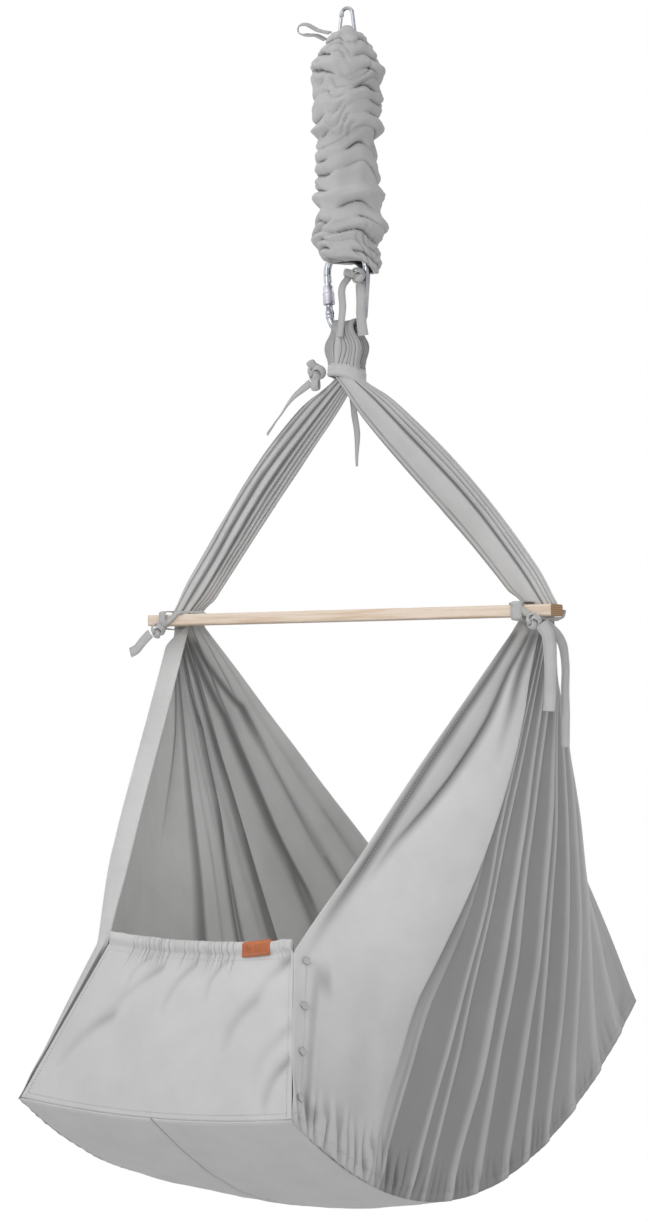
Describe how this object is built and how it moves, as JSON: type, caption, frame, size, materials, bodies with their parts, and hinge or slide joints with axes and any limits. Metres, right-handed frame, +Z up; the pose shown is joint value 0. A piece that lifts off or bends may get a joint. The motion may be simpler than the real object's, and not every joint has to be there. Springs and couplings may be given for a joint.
{
  "type": "hanging baby cradle",
  "caption": "Boat-shaped cloth cradle on a wooden spreader bar, hung by a cloth loop, a screw-lock carabiner and a sleeved extension spring.",
  "frame": {"origin": "seat of the top hook, where the ceiling fitting bears on it", "axes": "+Z up, +X along the spreader bar, +Y along the cradle, away from its opening front panel"},
  "size_m": [0.6735, 0.848, 1.5645],
  "materials": {
    "hook_steel": "polished",
    "lock_steel": "knurled, nickel plated",
    "spring_steel": "oiled wire",
    "webbing": "woven webbing",
    "sleeve_cotton": "plain weave, ruched",
    "cradle_cotton": "plain weave",
    "cotton_tape": "folded tape",
    "bar_wood": "satin lacquer",
    "tag_leather": "vegetable tanned",
    "mattress_ticking": "cotton ticking",
    "elastic_band": "ribbed elastic",
    "snap_steel": "polished"
  },
  "bodies": {
    "hook": {"top_hook": "hook_steel", "top_hook_rivet": "hook_steel"},
    "hook_gate": {"top_hook_gate": "hook_steel"},
    "spring_top": {"spring_upper_eye": "hook_steel", "coil_spring": "spring_steel", "safety_strap": "webbing", "spring_sleeve": "sleeve_cotton", "sleeve_top_tie": "cotton_tape"},
    "spring_bottom": {"spring_lower_eye": "hook_steel", "sleeve_knot": "cotton_tape", "sleeve_tape_left": "cotton_tape", "sleeve_tape_right": "cotton_tape"},
    "lower_carabiner": {"carabiner": "hook_steel", "carabiner_rivet": "hook_steel"},
    "lower_gate": {"carabiner_gate": "hook_steel"},
    "lock_ring": {"lock_sleeve": "lock_steel"},
    "cradle": {"hanging_loop": "cradle_cotton", "neck_binding": "cradle_cotton", "left_arm": "cradle_cotton", "right_arm": "cradle_cotton", "left_arm_knot": "cotton_tape", "left_arm_tail": "cotton_tape", "neck_tail": "cotton_tape", "spreader_bar": "bar_wood", "left_bar_tie": "cotton_tape", "right_bar_tie": "cotton_tape", "left_bar_knot": "cotton_tape", "right_bar_knot": "cotton_tape", "left_bar_tail": "cotton_tape", "right_bar_tail": "cotton_tape", "right_bar_back_tail": "cotton_tape", "right_fan": "cradle_cotton", "left_fan": "cradle_cotton", "bottom_panel": "cradle_cotton", "mattress": "mattress_ticking", "back_panel": "cradle_cotton", "back_casing": "cradle_cotton", "back_elastic": "elastic_band", "right_snap_cap_1": "snap_steel", "right_snap_cap_2": "snap_steel", "right_snap_cap_3": "snap_steel", "right_snap_cap_4": "snap_steel", "left_snap_cap_1": "snap_steel", "left_snap_cap_2": "snap_steel", "left_snap_cap_3": "snap_steel", "left_snap_cap_4": "snap_steel"},
    "front_flap": {"front_panel": "cradle_cotton", "front_casing": "cradle_cotton", "front_elastic": "elastic_band", "leather_tag": "tag_leather", "right_snap_stud_1": "snap_steel", "right_snap_stud_2": "snap_steel", "right_snap_stud_3": "snap_steel", "right_snap_stud_4": "snap_steel", "left_snap_stud_1": "snap_steel", "left_snap_stud_2": "snap_steel", "left_snap_stud_3": "snap_steel", "left_snap_stud_4": "snap_steel"}
  },
  "joints": [
    {"name": "top_gate_hinge", "type": "hinge", "parent": "hook", "child": "hook_gate", "pos_m": [-0.00863, 0, -0.00627], "axis": [0, -1, 0], "range_deg": [0, 25], "stiffness_Nm_per_rad": 0.03, "springref_deg": -17.19},
    {"name": "spring_swing", "type": "hinge", "parent": "hook", "child": "spring_top", "pos_m": [0, 0, -0.0625], "axis": [1, 0, 0], "range_deg": [-20, 20]},
    {"name": "spring_stretch", "type": "slide", "parent": "spring_top", "child": "spring_bottom", "axis": [0, 0, -1], "range_m": [0, 0.15], "stiffness_N_per_m": 600, "springref_m": -0.09, "deforming": ["coil_spring", "safety_strap", "spring_sleeve"]},
    {"name": "carabiner_sway", "type": "hinge", "parent": "spring_bottom", "child": "lower_carabiner", "pos_m": [0, 0, -0.3248], "axis": [0, 1, 0], "range_deg": [-12, 12]},
    {"name": "lower_gate_hinge", "type": "hinge", "parent": "lower_carabiner", "child": "lower_gate", "pos_m": [-0.02715, 0, -0.40101], "axis": [0, 1, 0], "range_deg": [0, 28], "stiffness_Nm_per_rad": 0.1, "springref_deg": -17.19},
    {"name": "lock_ring_turn", "type": "hinge", "parent": "lower_gate", "child": "lock_ring", "pos_m": [-0.02715, 0, -0.40101], "axis": [-0.0741, 0, 0.9973], "continuous": true},
    {"name": "cradle_rock", "type": "hinge", "parent": "lower_carabiner", "child": "cradle", "pos_m": [0, 0, -0.429], "axis": [1, 0, 0], "range_deg": [-10, 10]},
    {"name": "flap_open", "type": "hinge", "parent": "cradle", "child": "front_flap", "pos_m": [0, -0.4253, -1.412], "axis": [1, 0, 0], "range_deg": [0, 180]}
  ]
}
